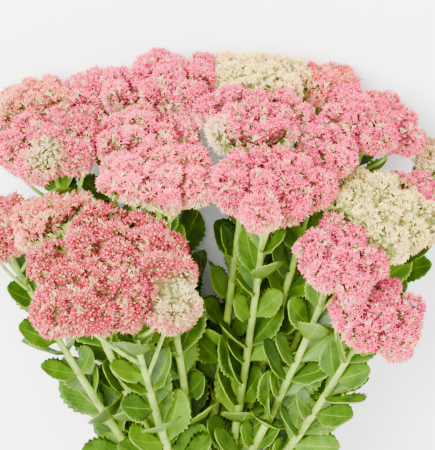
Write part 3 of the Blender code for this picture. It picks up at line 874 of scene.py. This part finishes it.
def point_tree(points):
    """A tree that finds the points near a place."""
    tree = KDTree(len(points))
    for index, point in enumerate(points):
        tree.insert(point, index)
    tree.balance()
    return tree


def hollows(points, facing):
    """How far each floret lies sunk between its neighbours, from 0 on a crest to 1 in a fold."""
    tree = point_tree(points)
    found = []
    for point, way in zip(points, facing):
        around = [points[index] for _, index, _ in tree.find_range(point, HOLLOW_REACH)]
        above = np.mean((np.array(around) - point) @ way)
        found.append(min(1.0, max(0.0, 0.12 + above / HOLLOW_DEPTH)))
    return found


def youth(head, point):
    """How young a head is at a place: 1.3 in the middle of its young part, below 0 beyond it."""
    if head.name not in YOUNG:
        return 0
    spot, spread = YOUNG[head.name]
    gap = Vector(point) - Vector(spot) * MM - SHIFT
    return 1.3 - (gap - FROM_ABOVE * gap.dot(FROM_ABOVE)).length / (spread * MM)


# How florets vary: the tints of a cluster and of a floret in it, their tilt, size and lift, mm, and how much
# larger the cups are. Of those sunk deep, some are left out. Some stay closed anywhere on a head
CLUSTER_TINTS, FLORET_TINTS = (-0.65, 0.45), (-0.8, 0.8)
FLORET_TILTS, FLORET_SIZES, FLORET_LIFTS = (-0.32, 0.32), (0.85, 1.12), (-1.6, 0.6)
LARGER_CUPS = 1.15
SUNK_DEEP, LEFT_OUT = 0.78, 0.6
LATE_CHANCE, LATE_YOUTH = 0.12, 0.5
STARS, CUPS = 0.6, 0.4


def florets_into(bm, head, sizes, templates):
    """Sets the head's florets, each turned, tilted and tinted by a seeded draw."""
    draw = random.Random(head.name + " florets")
    spec = HEADS[head.name]
    points, facing, heights, pressed = dome_points(head, sizes.floret_spacing)
    # How sunk or pressed each floret is: deep ones are thinned out, and it sets their painted shade
    sunk = np.maximum(hollows(points, facing), pressed * 0.9)
    cluster_tints = [spec.blush + draw.uniform(*CLUSTER_TINTS) for _ in head.lobes]
    centres = np.array([centre for centre, _ in head.lobes])
    bed = BVHTree.FromBMesh(bm)
    for point, way, height, hollow in zip(points, facing, heights, sunk):
        # On the steep side of a lobe a floret moves in until it stands on the bed
        foot = np.array(bed.find_nearest(point)[0])
        gap = np.linalg.norm(point - foot)
        if gap > FLORET_STAND:
            point = foot + (point - foot) * FLORET_STAND / gap
        place = np.array([(Vector(point) - head.middle).dot(v) for v in (head.side, head.across, head.axis)])
        lobe = int(np.argmin(((centres - place) ** 2).sum(1)))
        if hollow > SUNK_DEEP and draw.random() < LEFT_OUT:
            continue
        rim = max(0.0, min(1.0, 0.75 - 2.2 * height))
        young = max(rim * spec.creamy + draw.uniform(-0.25, 0.15), youth(head, point))
        young = max(0, young + (LATE_YOUTH if draw.random() < LATE_CHANCE else 0))
        pick = draw.random() + 0.6 * young - spec.opened * STARS
        kind = "star" if pick < 0 else "cup" if pick < CUPS else "bud"
        # Only the young cream heads still show their anthers
        mesh, corners = draw.choice(templates[kind][: 3 if is_young(spec.color) else 2])
        axis = (Vector(way) + head.axis * 0.2).normalized()
        axis = (axis + Vector([draw.uniform(*FLORET_TILTS) for _ in range(3)])).normalized()
        size = sizes.floret_radius * draw.uniform(*FLORET_SIZES) * (LARGER_CUPS if kind == "cup" else 1)
        spin = axis.to_track_quat("Z", "X").to_matrix() @ Matrix.Rotation(draw.uniform(0, math.tau), 3, "Z")
        lift = axis * draw.uniform(*FLORET_LIFTS) * MM
        placed = corners @ (np.array(spin) * size).T + point + np.array(lift)
        placed[:, 2] = np.maximum(placed[:, 2], FLORET_FLOOR)
        mesh.vertices.foreach_set("co", placed.ravel())
        values = {
            "tint": max(-1, min(1, cluster_tints[lobe] + draw.uniform(*FLORET_TINTS))),
            # The painted shade of a sunk or pressed floret, weaker on young ones
            "hollow": hollow * (1 - 0.8 * min(1, young)),
            "bloom": max(0.2, min(1.0, 1.05 - 0.9 * young - (0.5 if kind == "bud" else 0))),
        }
        for key, value in values.items():
            mesh.attributes[key].data.foreach_set("value", [value] * len(mesh.vertices))
        bm.from_mesh(mesh)


# Below, a bed is hollow out to this share of the head's radius
UMBRELLA = 0.7


def bed_into(bm, head):
    """The dense bed under the florets, domed and pimpled above and hollow like an umbrella below."""
    ball = bmesh.ops.create_icosphere(bm, subdivisions=4, radius=1)["verts"]
    bloom = bm.verts.layers.float["bloom"]
    bm.verts.index_update()
    ways = np.array([vert.co.normalized() for vert in ball])
    pimples = np.random.default_rng(len(ball)).uniform(*PIMPLES, len(ball)) * MM
    reach = dome_reach(head, ways)
    lows = [min(reach[edge.other_vert(vert).index] for edge in vert.link_edges) for vert in ball]
    reach = np.minimum(reach, lows) - BED_DEPTH + pimples
    for vert, way, far in zip(ball, ways, reach):
        place = Vector(way) * far
        height = place.dot(head.axis)
        if height < 0:
            out = (place - head.axis * height).length / (UMBRELLA * head.radius)
            place -= head.axis * height * (1 - min(1, 0.2 + 0.8 * out**2))
        vert.co = head.middle + place
        vert.co.z = max(vert.co.z, BED_FLOOR)
        vert[bloom] = 1 - max(0, min(1, 1.4 * youth(head, vert.co)))
    set_material(ball, 3)


# Radii of a lobe's branch, mm, the thin ones that leave it, and their reach as shares of the lobe's size
BRANCH_RADII = (1.3, 1.0, 0.8)
SPRAY, SPRAY_REACH = 6, (0.45, 0.9)


def pedicels_into(bm, head, sizes):
    """The branches that carry the lobes: one from a stalk to each, then a spray of thin ones."""
    draw = random.Random(head.name + " pedicels")
    ends = [points[-1] for points, _ in stem_routes(head)]
    for centre, size in head.lobes:
        flat = head.side * centre.x + head.across * centre.y
        goal = head.middle + flat * 0.92 - head.axis * 0.06 * head.radius
        start = min(ends, key=lambda end: (end - goal).length)
        bend = start.lerp(goal, 0.45) - head.axis * 2 * MM
        middle = start * 0.25 + bend * 0.5 + goal * 0.25
        tube_into(bm, [start, middle, goal], [radius * MM for radius in BRANCH_RADII], 6, 4)
        for k in range(SPRAY):
            out = way_out(head, k * GOLDEN + draw.uniform(-0.3, 0.3))
            tip = goal + out * size * draw.uniform(*SPRAY_REACH) + head.axis * 2 * MM
            way = tip - head.middle
            free = float(plane_reach(head, np.array([way.normalized()]))[0])
            tip = head.middle + way.normalized() * min(way.length, free - 1.5 * MM)
            elbow = middle.lerp(tip, 0.6) - head.axis * 1.2 * MM
            tube_into(bm, [middle, elbow, tip], [sizes.pedicel_radius] * 3, 5, 4)


class SEDUM_OT_heads(bpy.types.Operator):
    """Dress every flower head with florets, its bed and its branches"""

    bl_idname = "sedum.heads"
    bl_label = "Flower heads"

    def execute(self, context):
        sizes, colors = context.scene.sedum_sizes, context.scene.sedum_colors
        draw = random.Random("floret shapes")
        templates = {
            kind: [
                floret_template(kind, math.radians(rise + draw.uniform(-6, 6)), kind == "star" and anthers)
                for anthers in (False, False, True)
            ]
            for kind, rise in PETAL_RISES.items()
        }
        bud, heart = colors.bud, toward(colors.pink, colors.crease, 0.3)
        pink_carpel = plain_plant_material("pink_carpels", heart, toward(bud, colors.peach, 0.65), 0.55)
        young_carpel = plain_plant_material("young_carpels", bud, toward(bud, colors.leaf, 0.3), 0.55)
        anther = plain_plant_material("ripe_anthers", ANTHER, OLD_ANTHER, 0.7)
        pedicel = plain_plant_material("pedicels", colors.stem, toward(colors.stem, colors.pink, 0.4), 0.5)
        dressed = {}
        for head in all_heads():
            name = HEADS[head.name].color
            if name not in dressed:
                body = getattr(colors, name)
                dressed[name] = petal_material(name, body, colors), bed_material(name, body, colors)
            petals, bed = dressed[name]
            carpel = young_carpel if is_young(name) else pink_carpel
            bm = floret_mesh()
            bed_into(bm, head)
            florets_into(bm, head, sizes, templates)
            pedicels_into(bm, head, sizes)
            finish_mesh(
                bm, "flowers_" + head.name, [petals, carpel, anther, bed, pedicel],
                ["head_" + head.name], name, smooth=False,
            )
        return {"FINISHED"}


def leaf_tree(line, site, sizes, grow, start=0.0):
    """The surface of the room that a leaf asks for."""
    bm = bmesh.new()
    leaf_into(bm, line, site, sizes, rings=7, sides=4, grow=grow, start=start)
    found = BVHTree.FromBMesh(bm)
    bm.free()
    return found


def solid_leaves(head, line, corners):
    """The ways in which the solid leaves of a stem really stand: those whose tip is a corner of the solid."""
    found = []
    step = NODE_STEPS[HEADS[head.name].seat[1]] * MM
    for ways in leaf_sites(head, line, SOLID_LEAVES, step):
        for site in ways:
            root, blade, face, _ = leaf_frame(line, site)
            curled = blade * math.sin(LEAF_CURL) + face * (1 - math.cos(LEAF_CURL))
            if corners.find(root + curled * site[3] / LEAF_CURL)[2] < 0.1 * MM:
                found.append(site)
                break
    return found


# The room that a leaf asks for. Up to these shares of its length its own stem and later leaves may touch it
LEAF_ROOM = 0.6 * MM
STEM_TOUCH, LEAF_TOUCH = 0.2, 0.12


class SEDUM_OT_leafy_stems(bpy.types.Operator):
    """Grow every stem with its stalks, the solids' leaves and the smaller leaves between them"""

    bl_idname = "sedum.leafy_stems"
    bl_label = "Leafy stems"

    def execute(self, context):
        sizes, colors = context.scene.sedum_sizes, context.scene.sedum_colors
        leaf_skin, stem_skin = leaf_material(colors), stem_material(colors)
        corners, trees = {}, {}
        for name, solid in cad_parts.items():
            corners[name] = [vert.co for vert in solid.data.vertices]
            trees[name] = BVHTree.FromPolygons(corners[name], [side.vertices for side in solid.data.polygons])
        grown = []
        for head in all_heads():
            line = stem_line(head)
            node_name = "leafy_stem_" + head.name
            draw = random.Random(head.name + " tints")
            sites = solid_leaves(head, line, point_tree(corners[node_name]))
            others = [tree for name, tree in trees.items() if name != node_name]
            used = [site[0] for site in sites]
            for ways in leaf_sites(head, line, LEAVES_BETWEEN, sizes.leaf_step, used):
                for site in ways:
                    room = leaf_tree(line, site, sizes, LEAF_ROOM)
                    if any(room.overlap(tree) for tree in others + grown):
                        continue
                    blade = leaf_tree(line, site, sizes, LEAF_ROOM, STEM_TOUCH)
                    if not blade.overlap(trees[node_name]):
                        grown.append(leaf_tree(line, site, sizes, 0.0, LEAF_TOUCH))
                        sites.append(site)
                        break
            bm = bmesh.new()
            for site in sites:
                leaf_into(bm, line, site, sizes, tint=1 if site[5:] else draw.uniform(-1.0, 0.45))
            stem_into(bm, head, line, sites)
            finish_mesh(bm, "stem_and_leaves_" + head.name, [leaf_skin, stem_skin], [node_name], "leaf")
        return {"FINISHED"}


def stem_into(bm, head, line, sites):
    """The stem with a slight swelling at each pair of leaves, and its stalks."""
    routes = stem_routes(head)
    length = stem_length(line)
    points, radii = [], []
    for k in range(49):
        share = k / 48
        radius = STEM_RADIUS + (STEM_TOP_RADIUS - STEM_RADIUS) * min(1, share**1.5 * 1.1)
        swell = sum(math.exp(-(((share - site[0]) * length / (2.5 * MM)) ** 2)) for site in sites)
        points.append(on_stem(line, share)[0])
        radii.append((radius * 0.94 + 0.45 * min(1, swell)) * MM)
    tube_into(bm, points, radii, 12, 1)
    for (fork, elbow, end), _ in routes[1:]:
        curve = [
            fork * (1 - t) ** 2 + (elbow - head.axis * 4 * MM) * 2 * t * (1 - t) + end * t**2
            for t in [j / 8 for j in range(9)]
        ]
        tube_into(bm, curve, [STALK_RADIUS * MM * (1.05 - 0.03 * j) for j in range(9)], 9, 1)


# The bark's longest edge and its roughness, how far in front the roots' cut ends reach, and the fine roots
BARK_EDGE, BARK_ROUGH, CUT_REACH = 5 * MM, 0.9 * MM, 14 * MM
FINE_ROOTS, ROOT_SHARES = 34, (0, 0.25, 0.5, 0.75, 1)


class SEDUM_OT_crown(bpy.types.Operator):
    """Give the crown its corky bark, cut root ends and fine roots"""

    bl_idname = "sedum.crown"
    bl_label = "Crown"

    def execute(self, context):
        colors = context.scene.sedum_colors
        wood = colors.cut_wood
        cut_wood = plain_plant_material("cut_root_wood", wood, toward(wood, colors.bark, 0.3), 0.8)
        bm = bmesh.new()
        bm.from_mesh(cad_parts["crown"].data)
        bmesh.ops.remove_doubles(bm, verts=bm.verts, dist=0.02 * MM)
        for _ in range(3):
            long_edges = [edge for edge in bm.edges if edge.calc_length() > BARK_EDGE]
            bmesh.ops.subdivide_edges(bm, edges=long_edges, cuts=1)
            bmesh.ops.triangulate(bm, faces=bm.faces)
        bm.normal_update()
        end = min(vert.co.y for vert in bm.verts)
        moves = []
        for vert in bm.verts:
            rough = noise.noise(vert.co * 120) + 0.5 * noise.noise(vert.co * 300)
            held = vert.co.z < 1 * MM or vert.co.y < end + 1 * MM
            moves.append(Vector() if held else vert.normal * rough * BARK_ROUGH)
        for vert, move in zip(bm.verts, moves):
            vert.co += move
        for face in bm.faces:
            if face.normal.y < -0.8 and face.calc_center_median().y < end + CUT_REACH:
                face.material_index = 1
        draw = random.Random("fine roots")
        for _ in range(FINE_ROOTS):
            side = draw.uniform(-0.9, 0.9)
            start = SHIFT + Vector((side * 44, -18, draw.uniform(12, 46))) * MM
            reach = Vector((side * 12 + draw.uniform(-7, 7), draw.uniform(-32, -16), draw.uniform(-9, 5)))
            bend = Vector((draw.uniform(-4, 4), 0, draw.uniform(-4, 2)))
            points = [start + (reach * t + bend * math.sin(math.pi * t)) * MM for t in ROOT_SHARES]
            width = draw.uniform(0.7, 1.5) * MM
            tube_into(bm, points, [width * (1 - 0.6 * t) for t in ROOT_SHARES], 6, 0)
        finish_mesh(bm, "bark_and_roots", [bark_material(colors), cut_wood], ["crown"], "root")
        return {"FINISHED"}


class SEDUM_OT_stage(bpy.types.Operator):
    """Set the pale floor, the soft lights and the camera that looks down on the flowers"""

    bl_idname = "sedum.stage"
    bl_label = "Stage"

    def execute(self, context):
        scene, colors = context.scene, context.scene.sedum_colors
        bm = bmesh.new()
        bmesh.ops.create_grid(bm, x_segments=1, y_segments=1, size=FLOOR_HALF)
        floor = bpy.data.objects.new("studio_floor", mesh_from(bm, "studio_floor"))
        paper = plain_plant_material("pale_paper", colors.floor, tuple(colors.floor), 0.95)
        floor.data.materials.append(paper)
        scene.collection.objects.link(floor)
        floor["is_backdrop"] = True
        world = bpy.data.worlds.new("soft_studio")
        world.use_nodes = True
        sky = world.node_tree.nodes["Background"].inputs
        sky["Color"].default_value = (1, 1, 1, 1)
        sky["Strength"].default_value = SKY_LIGHT
        scene.world = world
        for name, (place, size, power) in LIGHTS.items():
            lamp = bpy.data.lights.new(name, "AREA")
            lamp.size = size
            lamp.energy = power
            light = bpy.data.objects.new(name, lamp)
            light.location = place
            light.rotation_euler = (LIT - Vector(place)).to_track_quat("-Z", "Y").to_euler()
            scene.collection.objects.link(light)
        camera = bpy.data.objects.new("camera", bpy.data.cameras.new("camera"))
        tilt = math.radians(CAMERA_TILT)
        back = Vector((0, math.sin(tilt), math.cos(tilt)))
        camera.location = CAMERA_TARGET * MM + SHIFT + back * CAMERA_FAR
        camera.rotation_euler = (-tilt, 0, 0)
        camera.data.sensor_width = CAMERA_SENSOR
        camera.data.lens = CAMERA_LENS
        scene.collection.objects.link(camera)
        scene.camera = camera
        return {"FINISHED"}


class SEDUM_PT_panel(bpy.types.Panel):
    """Sizes, colours and pieces of the clump"""

    bl_label = "Sedum clump"
    bl_idname = "SEDUM_PT_panel"
    bl_space_type = "VIEW_3D"
    bl_region_type = "UI"
    bl_category = "Sedum"

    def draw(self, context):
        for group in (context.scene.sedum_sizes, context.scene.sedum_colors):
            for key in group.bl_rna.properties.keys():
                if key not in ("rna_type", "name"):
                    self.layout.prop(group, key)
        for operator in (SEDUM_OT_crown, SEDUM_OT_leafy_stems, SEDUM_OT_heads, SEDUM_OT_stage):
            self.layout.operator(operator.bl_idname)


CLASSES = (
    SEDUM_PG_sizes, SEDUM_PG_colors, SEDUM_OT_crown, SEDUM_OT_leafy_stems, SEDUM_OT_heads, SEDUM_OT_stage,
    SEDUM_PT_panel,
)


def register():
    """Adds the add-on's classes and its settings on the scene."""
    for made in CLASSES:
        bpy.utils.register_class(made)
    bpy.types.Scene.sedum_sizes = PointerProperty(type=SEDUM_PG_sizes)
    bpy.types.Scene.sedum_colors = PointerProperty(type=SEDUM_PG_colors)


def unregister():
    """Takes the settings and the classes away again."""
    del bpy.types.Scene.sedum_colors
    del bpy.types.Scene.sedum_sizes
    for made in reversed(CLASSES):
        bpy.utils.unregister_class(made)


def main():
    """Dresses the clump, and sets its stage."""
    register()
    bpy.ops.sedum.crown()
    bpy.ops.sedum.leafy_stems()
    bpy.ops.sedum.heads()
    bpy.ops.sedum.stage()
    boxes = {"cad": CAD_BOX, "visual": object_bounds()}
    plain = {key: [[float(v) for v in corner] for corner in box] for key, box in boxes.items()}


if __name__ == "__main__":
    main()
